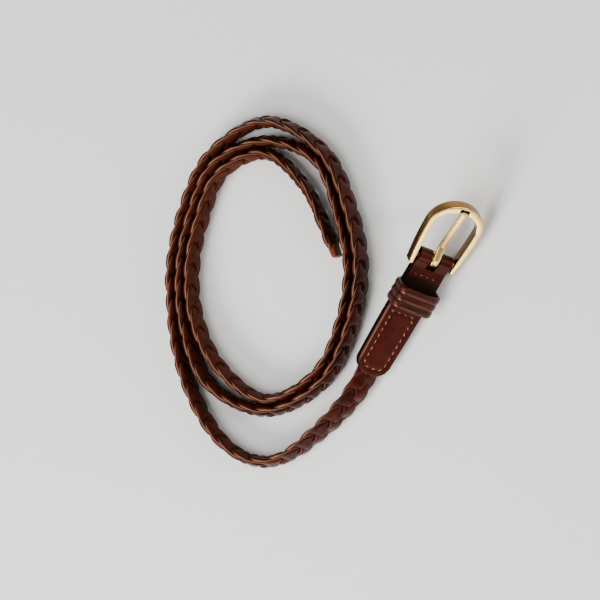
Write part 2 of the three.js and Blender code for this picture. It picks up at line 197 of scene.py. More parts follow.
def makeSmoothLeather(name, look):
    # finished leather: fine pebble, slow mottling, a painted highlight along the tab's left front edge,
    # and the look's edge colour as painted shade
    material, bench, shader = newMaterial(name, {"IOR": look["gloss"], "Specular Tint": sheen})
    place = bench.add("ShaderNodeTexCoord", output="Object")
    pores = bench.add("ShaderNodeTexVoronoi", {}, {"Vector": place, "Scale": 1900.0})
    cloud = noise(bench, place, 160.0, 5.0)
    # painted shade: the edge colour goes where the keeper would shade the tab and into the keeper's
    # grooves
    edge = bench.attribute("rim").above(0.25, 0.75)
    face = bench.mixColour(cloud.above(0.32, 0.68), look["dark"], look["light"])
    # painted highlight: the pale line along the tab's left front edge
    face = bench.mixColour(bench.attribute("worn"), face, paintedHighlightColour)
    connect(bench, bench.mixColour(edge, face, look["edge"]), shader, "Base Color")
    connect(bench, look["roughness"] + 0.14 * cloud + 0.1 * edge, shader, "Roughness")
    bump(bench, shader, pores * 0.4 + cloud, 0.22, 0.00012)
    return material


# the wall colour is a painted reflection and the shade colour painted shade
goldPaint = {
    "face": paint(250, 210, 132), "deep": paint(238, 194, 112), "wall": paint(138, 100, 54),
    "shade": paint(74, 50, 24), "roughness": 0.2,
}


def makeGold(name):
    material, bench, shader = newMaterial(name, {"Metallic": 1.0})
    place = bench.add("ShaderNodeTexCoord", output="Object")
    cloud = noise(bench, place, 120.0, 4.0)
    brushed = noise(bench, place, 2200.0)
    colour = bench.mixColour(cloud.above(0.35, 0.7), goldPaint["face"], goldPaint["deep"])
    # painted reflection: the side walls darker brown-gold; painted shade inside the window and on the
    # prong's lower shank
    colour = bench.mixColour(bench.attribute("wall"), colour, goldPaint["wall"])
    colour = bench.mixColour(bench.attribute("shade"), colour, goldPaint["shade"])
    connect(bench, colour, shader, "Base Color")
    connect(bench, goldPaint["roughness"] + 0.06 * cloud + 0.04 * brushed, shader, "Roughness")
    bump(bench, shader, brushed, 0.008, 0.00002)
    return material


threadPaint = {"dark": paint(122, 62, 42), "light": paint(178, 112, 86)}
# painted shade for the inside of the frame's notch
recessShadePaint = {"dark": paint(4, 3, 2), "light": paint(12, 8, 5)}


def makeThread():
    material, bench, shader = newMaterial("waxedThread", {"Roughness": 0.55})
    place = bench.add("ShaderNodeTexCoord", output="Object")
    wound = noise(bench, place, 900.0)
    colour = bench.mixColour(wound.above(0.3, 0.7), threadPaint["dark"], threadPaint["light"])
    connect(bench, colour, shader, "Base Color")
    bump(bench, shader, wound, 0.4, 0.0001)
    return material


def makeRecessShade():
    # painted shade: the near-black inside of the frame's notch
    material, bench, shader = newMaterial("paintedNotchShade", {"Roughness": 0.6})
    place = bench.add("ShaderNodeTexCoord", output="Object")
    shadeSpeckle = noise(bench, place, 900.0)
    colour = bench.mixColour(shadeSpeckle, recessShadePaint["dark"], recessShadePaint["light"])
    connect(bench, colour, shader, "Base Color")
    return material


# each look's edge colour is painted shade: the keeper's shadow on the tab, the shade in the keeper's
# grooves
tabPaint = {
    "dark": paint(44, 6, 2), "light": paint(56, 9, 3), "edge": paint(16, 3, 2), "roughness": 0.3,
    "gloss": 1.3,
}
tabEdgePaint = {
    "dark": paint(5, 2, 1), "light": paint(9, 3, 2), "edge": paint(5, 2, 1), "roughness": 0.5,
    "gloss": 1.16,
}
keeperPaint = {
    "dark": paint(40, 8, 4), "light": paint(56, 13, 6), "edge": paint(4, 1, 1), "roughness": 0.24,
    "gloss": 1.42,
}
tipPaint = {
    "dark": paint(92, 42, 18), "light": paint(124, 62, 28), "edge": paint(70, 30, 12), "roughness": 0.45,
    "gloss": 1.36,
}
laceLeather = makeLaceLeather()
tabLeather = makeSmoothLeather("tabLeather", tabPaint)
tabEdge = makeSmoothLeather("tabEdge", tabEdgePaint)
keeperLeather = makeSmoothLeather("keeperLeather", keeperPaint)
tipLeather = makeSmoothLeather("tipLeather", tipPaint)
recessShade = makeRecessShade()
gold = makeGold("paleGold")
prongMetal = makeGold("prongGold")
thread = makeThread()
print("materials made")


def addObject(name, data):
    made = bpy.data.objects.new(name, data)
    bpy.context.scene.collection.objects.link(made)
    return made


# Mesh helpers: points are millimetres in a piece's own axes, and a matrix carries them to their place
def meshObject(name, points, faces, material, smooth=True):
    mesh = bpy.data.meshes.new(name)
    mesh.from_pydata([tuple(p) for p in points], [], faces)
    mesh.materials.append(material)
    mesh.polygons.foreach_set("use_smooth", [smooth] * len(mesh.polygons))
    return addObject(name, mesh)


def ringFaces(count, size, closed):
    faces = []
    for i in range(count if closed else count - 1):
        here, there = i * size, ((i + 1) % count) * size
        for j in range(size):
            k = (j + 1) % size
            faces.append((here + j, here + k, there + k, there + j))
    if not closed:
        faces.append(tuple(reversed(range(size))))
        faces.append(tuple(range((count - 1) * size, count * size)))
    return faces


def ringObject(name, rings, material, matrix=None, closed=False):
    points = [p for ring in rings for p in ring]
    if matrix is not None:
        points = [matrix @ Vector(p) for p in points]
    made = meshObject(name, points, ringFaces(len(rings), len(rings[0]), closed), material)
    bm = bmesh.new()
    bm.from_mesh(made.data)
    bmesh.ops.recalc_face_normals(bm, faces=bm.faces)
    bm.to_mesh(made.data)
    bm.free()
    return made


def bakeModifiers(piece):
    depsgraph = bpy.context.evaluated_depsgraph_get()
    mesh = bpy.data.meshes.new_from_object(
        piece.evaluated_get(depsgraph), preserve_all_data_layers=True, depsgraph=depsgraph)
    piece.modifiers.clear()
    old = piece.data
    piece.data = mesh
    bpy.data.meshes.remove(old)
    return piece


def setAttribute(piece, name, values):
    layer = piece.data.attributes.new(name, "FLOAT", "POINT")
    layer.data.foreach_set("value", values)


def boxy(angle, halfWide, halfHigh, power):
    # a point of a rounded box outline
    cosine, sine = math.cos(angle), math.sin(angle)
    return (halfWide * math.copysign(abs(cosine) ** power, cosine),
            halfHigh * math.copysign(abs(sine) ** power, sine))


def smoothStep(low, high, value):
    share = min(max((value - low) / (high - low), 0.0), 1.0)
    return share * share * (3 - 2 * share)


def lerp(first, second, share):
    return first + (second - first) * share


# The strap's path: the CAD's own route, in millimetres about the belt's first drawing point
strap = {
    "coilRadius": 47.0, "centre": (-13.4, 15.2), "width": 11.2, "thickness": 4.2, "clearance": 0.35,
    "tailDegrees": 889, "tailSpare": 20, "leanStart": 790, "tailLean": 15, "pocketDepth": 10.0,
    "fitGap": 0.3, "leadIn": 5.0, "tabLength": 60.5, "yaw": 34.6, "rise": 2.0, "roll": 37.0,
    "bar": (72.9, 18.1),
}
coilRows = [
    # degrees, radius, space to the second turn, space to the third
    (0, 1.004, 0.04, 0.0), (30, 1.017, 0.0, 0.0), (60, 1.196, 0.05, 0.08), (90, 1.346, 0.96, 0.25),
    (120, 1.223, 0.08, 2.05), (150, 1.03, 0.2, 1.1), (180, 1.0, 0.1, 0.08), (210, 1.057, 0.1, 0.0),
    (240, 1.245, 0.14, 0.0), (270, 1.362, 0.06, 0.0), (300, 1.264, 1.12, 0.0), (330, 1.015, 0.25, 0.0),
]
runOutRows = [
    # x, y, roll in degrees, share of the tab's lift
    (-1.287, 0.0, 0, 0), (-1.247, -0.372, 0, 0), (-1.149, -0.723, 0, 0), (-0.991, -1.047, 0, 0),
    (-0.789, -1.302, 0, 0), (-0.538, -1.468, 0, 0), (-0.285, -1.515, 2, 0), (-0.032, -1.443, 8, 0.05),
    (0.211, -1.287, 16, 0.2), (0.464, -1.089, 25, 0.45), (0.666, -0.887, 32, 0.75),
]
barPlace = Vector(frame["joints"][0]["pos_m"]) / mm
drawnShift = Vector((barPlace.x - strap["bar"][0], barPlace.y - strap["bar"][1], 0))


def buckleAxes():
    yaw, rise, roll = (math.radians(strap[key]) for key in ("yaw", "rise", "roll"))
    along = Vector((math.sin(yaw) * math.cos(rise), math.cos(yaw) * math.cos(rise), math.sin(rise)))
    side = Vector((math.cos(yaw), -math.sin(yaw), 0))
    out = math.cos(roll) * side + math.sin(roll) * side.cross(along)
    across = along.cross(out)
    turn = Matrix((across, along, out)).transposed().to_4x4()
    return Matrix.Translation(barPlace) @ turn


buckleTurn = buckleAxes()


def restHeight(roll):
    angle = math.radians(roll)
    return 0.5 * strap["width"] * math.cos(angle) + 0.5 * strap["thickness"] * abs(math.sin(angle))


def leanAt(degrees):
    span = strap["tailDegrees"] - strap["leanStart"]
    share = min(max((degrees - strap["leanStart"]) / span, 0), 1)
    return math.sin(math.pi * share) ** 2


def coilKnots():
    turnPitch = strap["thickness"] + strap["clearance"]
    knots = []
    for turn in range(3):
        for degrees, radius, toSecond, toThird in coilRows:
            whole = degrees + 360 * turn
            if whole > strap["tailDegrees"] + strap["tailSpare"]:
                continue
            reach = radius * strap["coilRadius"]
            if turn > 0:
                reach -= turnPitch + toSecond * strap["thickness"]
            if turn > 1:
                reach -= turnPitch + toThird * strap["thickness"]
            angle = math.radians(whole)
            place = Vector((strap["centre"][0] - reach * math.cos(angle),
                            strap["centre"][1] + reach * math.sin(angle), 0))
            knots.append((place + drawnShift, -strap["tailLean"] * leanAt(whole), 0.0))
    return knots[::-1]


def strapKnots():
    tabEnd = -strap["tabLength"]
    inPocket = tabEnd + strap["pocketDepth"] - strap["fitGap"]
    ends = [buckleTurn @ Vector((0, y, 0)) for y in (tabEnd - strap["leadIn"], tabEnd, inPocket)]
    tabLift = ends[1].z - restHeight(strap["roll"])
    knots = coilKnots()
    for x, y, roll, lift in runOutRows:
        place = Vector((x * strap["coilRadius"], y * strap["coilRadius"], 0)) + drawnShift
        knots.append((place, roll, lift * tabLift))
    for end in ends:
        knots.append((Vector((end.x, end.y, 0)), strap["roll"], end.z - restHeight(strap["roll"])))
    return knots


def curvePoint(places, place):
    # centripetal Catmull-Rom curve through the knots
    last = len(places) - 1
    low = min(int(place), last - 1)
    share = place - low
    p1, p2 = places[low], places[low + 1]
    p0 = places[low - 1] if low > 0 else 2 * p1 - p2
    p3 = places[low + 2] if low + 2 <= last else 2 * p2 - p1
    d0, d1, d2 = ((b - a).length ** 0.5 for a, b in ((p0, p1), (p1, p2), (p2, p3)))
    t1 = ((p1 - p0) / d0 - (p2 - p0) / (d0 + d1) + (p2 - p1) / d1) * d1
    t2 = ((p2 - p1) / d1 - (p3 - p1) / (d1 + d2) + (p3 - p2) / d2) * d1
    c2 = -3 * p1 + 3 * p2 - 2 * t1 - t2
    c3 = 2 * p1 - 2 * p2 + t1 + t2
    point = p1 + share * (t1 + share * (c2 + share * c3))
    tangent = t1 + share * (2 * c2 + share * 3 * c3)
    return point, tangent


class Route:
    # places along the strap by their distance from the tail's end
    def __init__(self, knots, perKnot=150):
        self.knots = knots
        places = [k[0] for k in knots]
        self.samples = []
        total = 0.0
        before = None
        for i in range((len(knots) - 1) * perKnot + 1):
            where = i / perKnot
            point, tangent = curvePoint(places, where)
            total += (point - before).length if before is not None else 0.0
            before = point
            self.samples.append((total, where, point, tangent))
        self.start = self.tailStart()
        self.length = total - self.start

    def tailStart(self):
        goal = math.radians(strap["tailDegrees"])
        centre = Vector((*strap["centre"], 0)) + drawnShift

        def turned(sample):
            point = sample[2]
            here = math.atan2(point.y - centre.y, centre.x - point.x)
            return abs(math.atan2(math.sin(here - goal), math.cos(here - goal)))
        nearTail = 0.08 * self.samples[-1][0]
        return min((s for s in self.samples if s[0] < nearTail), key=turned)[0]

    def at(self, distance):
        goal = self.start + distance
        low, high = 0, len(self.samples) - 1
        while high - low > 1:
            middle = (low + high) // 2
            if self.samples[middle][0] <= goal:
                low = middle
            else:
                high = middle
        a, b = self.samples[low], self.samples[high]
        share = (goal - a[0]) / (b[0] - a[0])
        where = lerp(a[1], b[1], share)
        knot = min(int(where), len(self.knots) - 2)
        part = where - knot
        roll = lerp(self.knots[knot][1], self.knots[knot + 1][1], part)
        lift = lerp(self.knots[knot][2], self.knots[knot + 1][2], part)
        centre = a[2].lerp(b[2], share)
        centre.z = restHeight(roll) + lift
        along = a[3].lerp(b[3], share).normalized()
        angle = math.radians(roll)
        front = math.cos(angle) * Vector((along.y, -along.x, 0)) + Vector((0, 0, math.sin(angle)))
        upper = front.cross(along).normalized()
        return centre, along, upper, front


route = Route(strapKnots())
print("strap route:", round(route.length, 1), "mm")


# Camera: a long lens at the photograph's lean over the coil, looking at the picture's middle
view = {"lean": 29.0, "distance": 9.0, "fieldWidth": 0.264, "sensor": 36.0}


def makeCamera():
    lens = bpy.data.cameras.new("photoView")
    lens.sensor_width = view["sensor"]
    lens.lens = view["sensor"] * view["distance"] / view["fieldWidth"]
    lens.clip_end = 50
    camera = addObject("photoView", lens)
    lean = math.radians(view["lean"])
    away = Vector((math.sin(lean), 0, math.cos(lean)))
    right = Vector((math.cos(lean), 0, -math.sin(lean)))
    turn = Matrix((right, Vector((0, 1, 0)), away)).transposed().to_4x4()
    camera.matrix_world = Matrix.Translation(drawnShift * mm + view["distance"] * away) @ turn
    bpy.context.scene.camera = camera


makeCamera()


# Plaited laces
plait = {
    "laces": 3, "laceWidth": 6.3, "laceThickness": 2.3, "halfRise": 1.2, "sharpness": -0.12,
    "pitch": 9.6, "phase": 0.625, "step": 1.2, "sides": 20, "flattenOver": 6.3, "pocketShare": 0.1,
    "tipStart": 0.2, "tipOver": 5.0, "tipShare": 0.2, "edgeRoll": 0.3, "swell": 2.0, "boxWide": 0.42,
    "boxHigh": 0.52, "grainAlong": 260.0, "grainAcross": 2.2, "grainShift": 7.3,
}


def guideObject():
    # a line of points down the middle of the strap, each with its axes
    run = route.length
    count = round(run / plait["step"])
    rows = []
    for i in range(count + 1):
        distance = run * i / count
        centre, along, upper, front = route.at(distance)
        atTip = smoothStep(plait["tipStart"], plait["tipOver"], distance)
        atPocket = smoothStep(0, plait["flattenOver"], run - distance - strap["pocketDepth"])
        swing = lerp(plait["tipShare"], 1, atTip)
        rise = lerp(plait["pocketShare"], 1, min(atTip, atPocket))
        rows.append((centre * mm, distance * mm, upper, front, swing, rise))
    mesh = bpy.data.meshes.new("plaitGuide")
    mesh.from_pydata([r[0] for r in rows], [(i, i + 1) for i in range(count)], [])
    for name, kind, column in (("distance", "FLOAT", 1), ("upper", "FLOAT_VECTOR", 2),
                               ("front", "FLOAT_VECTOR", 3), ("swingShare", "FLOAT", 4),
                               ("riseShare", "FLOAT", 5)):
        layer = mesh.attributes.new(name, kind, "POINT")
        for item, row in zip(layer.data, rows):
            if kind == "FLOAT":
                item.value = row[column]
            else:
                item.vector = row[column]
    return addObject("plaitGuide", mesh)


def newGeometryTree(name, inputs):
    tree = bpy.data.node_groups.new(name, "GeometryNodeTree")
    tree.interface.new_socket("Geometry", in_out="INPUT", socket_type="NodeSocketGeometry")
    keys = {}
    for label, kind in inputs:
        made = tree.interface.new_socket(label, in_out="INPUT", socket_type="NodeSocket" + kind)
        keys[label] = made.identifier
    tree.interface.new_socket("Geometry", in_out="OUTPUT", socket_type="NodeSocketGeometry")
    bench = Bench(tree)
    entry = tree.nodes.new("NodeGroupInput")
    return tree, bench, {s.name: Wire(bench, s) for s in entry.outputs if s.name}, keys


def named(bench, name, kind="FLOAT"):
    return bench.add("GeometryNodeInputNamedAttribute", {"data_type": kind}, {"Name": name})


def store(bench, geometry, name, value, domain="POINT", kind="FLOAT"):
    return bench.add("GeometryNodeStoreNamedAttribute", {"data_type": kind, "domain": domain},
                     {"Geometry": geometry, "Name": name, "Value": value})


def endTree(tree, bench, geometry, material):
    real = bench.add("GeometryNodeRealizeInstances", {}, {"Geometry": geometry})
    smooth = bench.add("GeometryNodeSetShadeSmooth", {}, {"Geometry": real, "Shade Smooth": True})
    painted = bench.add("GeometryNodeSetMaterial", {}, {"Geometry": smooth, "Material": material})
    leave = tree.nodes.new("NodeGroupOutput")
    tree.links.new(painted.socket, leave.inputs["Geometry"])


def runTree(piece, tree, keys, values):
    modifier = piece.modifiers.new(tree.name, "NODES")
    modifier.node_group = tree
    for label, value in values.items():
        modifier[keys[label]] = value
    return bakeModifiers(piece)


def plaitTree():
    tree, bench, entry, keys = newGeometryTree("plaitedLaces", [
        ("Laces", "Int"), ("Lace Width", "Float"), ("Lace Thickness", "Float"), ("Half Swing", "Float"),
        ("Half Rise", "Float"), ("Round Length", "Float"), ("Phase", "Float"), ("Sharpness", "Float"),
        ("Edge Roll", "Float"), ("Sides", "Int"), ("Leather", "Material"),
    ])
    line = bench.add("GeometryNodeMeshToCurve", {}, {"Mesh": entry["Geometry"]})
    copies = bench.add("GeometryNodeDuplicateElements", {"domain": "SPLINE"},
                       {"Geometry": line, "Amount": entry["Laces"]})
    index = copies.other("Duplicate Index")
    distance = named(bench, "distance")
    turns = (distance + entry["Phase"]) / entry["Round Length"] + index / entry["Laces"]
    angle = turns * (2 * math.pi)
    # each lace swings from edge to edge and rises over or dips under between them
    wave = angle.math("COSINE") + entry["Sharpness"] * (angle * 3.0).math("COSINE")
    across = -(entry["Half Swing"] * named(bench, "swingShare") * wave / (1 + entry["Sharpness"]))
    swell = (plait["swell"] * (angle * 2.0).math("SINE")).math("TANH") / math.tanh(plait["swell"])
    rise = entry["Half Rise"] * named(bench, "riseShare") * swell
    upper = named(bench, "upper", "FLOAT_VECTOR")
    front = named(bench, "front", "FLOAT_VECTOR")
    offset = upper.vector("SCALE", scale=across).vector("ADD", front.vector("SCALE", scale=rise))
    swung = bench.add("GeometryNodeSetPosition", {}, {"Geometry": copies, "Offset": offset})
    swung = store(bench, swung, "laceOffset", across)
    # the lace's flat faces front, leans a little at the plait's edges and stays square to its run
    tangent = bench.add("GeometryNodeInputTangent")
    roll = entry["Edge Roll"] * (wave / (1 + entry["Sharpness"])) * swell
    tilted = front.vector("SUBTRACT", upper.vector("SCALE", scale=roll))
    lean = tilted.vector("DOT_PRODUCT", tangent).other("Value")
    square = tilted.vector("SUBTRACT", tangent.vector("SCALE", scale=lean)).vector("NORMALIZE")
    wide = square.vector("CROSS_PRODUCT", tangent)
    faced = bench.add("GeometryNodeSetCurveNormal", {"mode": "FREE"}, {"Curve": swung, "Normal": wide})
    numbered = store(bench, faced, "laceIndex", index, "CURVE")
    circle = bench.add("GeometryNodeCurvePrimitiveCircle", {"mode": "RADIUS"},
                       {"Resolution": entry["Sides"], "Radius": 1.0})
    roundX = bench.add("ShaderNodeSeparateXYZ", {}, [bench.add("GeometryNodeInputPosition")])
    roundY = roundX.other("Y")

    def boxed(wire, power):
        return wire.math("SIGN") * (wire.math("ABSOLUTE") ** power)
    section = bench.add("ShaderNodeCombineXYZ", {}, {
        "X": boxed(roundX, plait["boxWide"]) * entry["Lace Width"] * 0.5,
        "Y": boxed(roundY, plait["boxHigh"]) * entry["Lace Thickness"] * 0.5,
    })
    marked = store(bench, circle, "cutEdge", roundX.math("ABSOLUTE"))
    marked = store(bench, marked, "grainSide", roundY)
    marked = store(bench, marked, "laceAcross", roundX)
    outline = bench.add("GeometryNodeSetPosition", {}, {"Geometry": marked, "Position": section})
    body = bench.add("GeometryNodeCurveToMesh", {},
                     {"Curve": numbered, "Profile Curve": outline, "Fill Caps": True})
    spread = bench.add("ShaderNodeCombineXYZ", {}, {
        "X": named(bench, "distance") * plait["grainAlong"],
        "Y": named(bench, "laceAcross") * plait["grainAcross"] + named(bench, "grainSide"),
        "Z": named(bench, "laceIndex") * plait["grainShift"],
    })
    mapped = store(bench, body, "laceMap", spread, kind="FLOAT_VECTOR")
    halfLace = entry["Lace Width"] * 0.5
    reach = (named(bench, "laceOffset") + named(bench, "laceAcross") * halfLace).math("ABSOLUTE")
    mapped = store(bench, mapped, "edgeReach", reach / (entry["Half Swing"] + halfLace))
    endTree(tree, bench, mapped, entry["Leather"])
    return tree, keys


def makeBraid():
    guide = guideObject()
    tree, keys = plaitTree()
    pitch = plait["pitch"]
    values = {
        "Laces": plait["laces"], "Lace Width": plait["laceWidth"] * mm,
        "Lace Thickness": plait["laceThickness"] * mm,
        "Half Swing": 0.5 * (strap["width"] - plait["laceWidth"]) * mm,
        "Half Rise": plait["halfRise"] * mm, "Round Length": plait["laces"] * pitch * mm,
        "Phase": plait["phase"] * pitch * mm, "Sharpness": plait["sharpness"],
        "Edge Roll": plait["edgeRoll"], "Sides": plait["sides"], "Leather": laceLeather,
    }
    piece = runTree(guide, tree, keys, values)
    piece.name = "plaitedLaces"
    for vertex in piece.data.vertices:
        vertex.co.z = max(vertex.co.z, 0.0)  # the leather is flat where it rests
    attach(piece, "strap")
    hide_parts("braid")
    print("laces:", len(piece.data.polygons), "faces")


makeBraid()


# Tail tip: a sleeve of leather closed over the laces
tip = {
    "upper": 3.66, "half": 1.75, "points": 32, "power": 0.55,
    "rows": [
        # distance from the laces' end, share of the width, share of the thickness
        (2.55, 0.8, 0.72), (2.7, 0.9, 0.82), (2.62, 0.97, 0.95), (2.3, 1.0, 1.0), (1.2, 1.0, 0.98),
        (0.0, 0.99, 0.96), (-1.2, 0.98, 0.95), (-2.2, 0.97, 0.94), (-2.8, 0.93, 0.86),
        (-3.15, 0.84, 0.7), (-3.3, 0.68, 0.5),
    ],
}


def makeTip():
    outward = route.at(0)[1]
    rings = []
    for distance, wide, high in tip["rows"]:
        centre, along, upper, front = route.at(max(distance, 0))
        centre = centre + outward * min(distance, 0)
        ring = []
        for i in range(tip["points"]):
            angle = 2 * math.pi * i / tip["points"]
            w, n = boxy(angle, tip["upper"] * wide, tip["half"] * high, tip["power"])
            ring.append((centre + upper * w + front * n) * mm)
        rings.append(ring)
    piece = ringObject("tailTip", rings, tipLeather)
    setAttribute(piece, "rim", [0.0] * len(piece.data.vertices))
    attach(piece, "strap")
    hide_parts("tail_tip")


makeTip()
print("tail tip made")


# Buckle tab: one strip of leather folded round the bar, its two layers sewn over the laces
toBuckle = Matrix.Scale(mm, 4) @ buckleTurn
tab = {
    "length": strap["tabLength"], "width": 16.5, "endWidth": 15.4, "leather": 1.9, "foldLeather": 1.2,
    "layer": 1.15, "foldRadius": 2.9, "foldBend": 4.725, "shoulder": 9.1, "foldOpen": 128.0,
    "slotHalf": 2.3, "slotEnd": 5.25, "slotBack": 4.1, "crown": 0.25, "grooveDepth": 0.2,
    "grooveWidth": 0.55, "corner": 6.5, "cornerPower": 2.1, "edgeRound": 0.4, "edgeAngle": 55,
    "straightSteps": 74, "foldSteps": 12, "sideColumns": 10, "slotColumns": 8, "frontFrom": 1.6,
    # the painted shadow of the keeper and the painted highlight on the left front edge: from y where
    # each begins to y where it is full
    "shadowNear": (-7.6, -12.4), "shadowFar": (-20, -19), "highlightNear": (-24, -28), "highlightFar": (3, 8),
    "highlightAcross": (0.38, 0.2),
}
tabFace = tab["layer"] + 0.5 * tab["leather"]
stitchLine = {
    "top": -28.6, "bottom": -57.3, "inset": 2.7, "pitch": 3.3, "corner": 3.0, "length": 2.0,
    "radius": 0.23, "flatness": 0.8, "slant": 0.14, "jitter": 0.12, "seed": 4, "slotRow": -8.6,
    "slotPitch": 2.4, "slotHalf": 4.6, "slotShift": -0.7, "slotLength": 0.9, "slotRaise": 0.12,
}


def foldLine():
    # the strip's side view, from the front layer's end round the bar to the back layer's end
    points = []
    for i in range(tab["straightSteps"]):
        points.append((lerp(-tab["length"], -tab["shoulder"], i / tab["straightSteps"]), tab["layer"]))
    steps = tab["foldSteps"]
    opened = math.radians(tab["foldOpen"])
    start = (-tab["shoulder"], tab["layer"])
    bend = (-tab["foldBend"], tab["layer"])
    meet = (tab["foldRadius"] * math.cos(opened), tab["foldRadius"] * math.sin(opened))
    for i in range(steps):
        t = i / steps
        points.append(tuple((1 - t) ** 2 * a + 2 * t * (1 - t) * b + t * t * c
                            for a, b, c in zip(start, bend, meet)))
    for i in range(steps + 1):
        angle = lerp(opened, 0, i / steps)
        points.append((tab["foldRadius"] * math.cos(angle), tab["foldRadius"] * math.sin(angle)))
    return points + [(y, -z) for y, z in reversed(points[:-1])]


def tabHalf(y):
    # half the tab's width at a distance y along it
    widening = smoothStep(-tab["length"], -0.5 * tab["length"], y)
    half = lerp(tab["endWidth"], tab["width"], widening) / 2
    left = min(max((y + tab["length"]) / tab["corner"], 0.0), 1.0)
    power = tab["cornerPower"]
    return half - tab["corner"] * (1 - (1 - (1 - left) ** power) ** (1 / power))


def stitchCorners():
    # the sewn line's outline, seen from the front, as a closed loop of points
    line = stitchLine
    loop = []
    for y in (line["top"], 0.5 * (line["top"] + line["bottom"])):
        loop.append((-(tabHalf(y) - line["inset"]), y))
    low = line["bottom"]
    side = tabHalf(low + line["corner"] + 1) - line["inset"]
    for i in range(7):
        angle = math.radians(180 + 15 * i)
        loop.append((-side + line["corner"] + line["corner"] * math.cos(angle),
                     low + line["corner"] + line["corner"] * math.sin(angle)))
    return loop + [(-x, y) for x, y in reversed(loop)]


def lineDistance(x, y, loop):
    nearest = 1e9
    for (ax, ay), (bx, by) in zip(loop, loop[1:] + loop[:1]):
        dx, dy = bx - ax, by - ay
        share = min(max(((x - ax) * dx + (y - ay) * dy) / (dx * dx + dy * dy), 0), 1)
        nearest = min(nearest, math.hypot(x - ax - share * dx, y - ay - share * dy))
    return nearest


def tabShell():
    # the folded sheet's points and faces, with the prong's slot left open
    line = foldLine()
    slotSteps, sideSteps = tab["slotColumns"], tab["sideColumns"]
    points, faces, weights = [], [], []
    for y, z in line:
        half = tabHalf(y)
        slot = min(tab["slotHalf"], 0.6 * half)
        side = [lerp(-half, -slot, i / sideSteps) for i in range(sideSteps)]
        middle = [slot * (2 * i / slotSteps - 1) for i in range(slotSteps + 1)]
        row = side + middle + [-x for x in reversed(side)]
        inFold = smoothStep(-tab["shoulder"], -0.4 * tab["shoulder"], y)
        for x in row:
            crown = tab["crown"] * (1 - (x / half) ** 2) if y < -tab["shoulder"] else 0.0
            points.append((x, y, z + math.copysign(crown, z)))
            weights.append(1 - inFold)
    size = 2 * sideSteps + slotSteps + 1
    for i in range(len(line) - 1):
        slotEnd = tab["slotEnd"] if line[i][1] > 0 else tab["slotBack"]
        inSlot = min(line[i][0], line[i + 1][0]) > -slotEnd
        for j in range(size - 1):
            if inSlot and sideSteps <= j < sideSteps + slotSteps:
                continue
            a = i * size + j
            faces.append((a, a + 1, a + size + 1, a + size))
    return points, faces, weights


def makeTab():
    points, faces, weights = tabShell()
    piece = meshObject("buckleTab", points, faces, tabLeather)
    group = piece.vertex_groups.new(name="thick")
    for i, weight in enumerate(weights):
        group.add([i], weight, "REPLACE")
    shell = piece.modifiers.new("leather", "SOLIDIFY")
    shell.thickness = tab["leather"]
    shell.offset = 0
    piece.data.materials.append(tabEdge)
    shell.material_offset_rim = 1
    shell.vertex_group = "thick"
    shell.thickness_vertex_group = tab["foldLeather"] / tab["leather"]
    bevel = piece.modifiers.new("edges", "BEVEL")
    bevel.width = tab["edgeRound"]
    bevel.segments = 3
    bevel.limit_method = "ANGLE"
    bevel.angle_limit = math.radians(tab["edgeAngle"])
    bakeModifiers(piece)
    loop = stitchCorners()
    rim, worn = [], []
    highlightFar = [reach - tab["length"] for reach in tab["highlightFar"]]
    for vertex in piece.data.vertices:
        x, y, z = vertex.co
        # painted highlight: a pale line on the bevel of the tab's left front edge
        corner = math.hypot(x + tabHalf(y), z - tabFace)
        onSide = smoothStep(*highlightFar, y) * smoothStep(*tab["highlightNear"], y)
        worn.append(onSide * smoothStep(*tab["highlightAcross"], corner))
        # painted shadow of the keeper on the tab's front, from the keeper towards the buckle
        onFront = smoothStep(0, 0.5, z)
        rim.append(smoothStep(*tab["shadowNear"], y) * onFront * smoothStep(*tab["shadowFar"], y))
        if z > tab["frontFrom"] and y < -tab["shoulder"]:
            away = lineDistance(x, y, loop)
            vertex.co.z -= tab["grooveDepth"] * math.exp(-(away / tab["grooveWidth"]) ** 2)
    setAttribute(piece, "rim", rim)
    setAttribute(piece, "worn", worn)
    piece.vertex_groups.clear()
    piece.data.transform(toBuckle)
    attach(piece, "strap")
    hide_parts("buckle_tab")


makeTab()
print("buckle tab made")


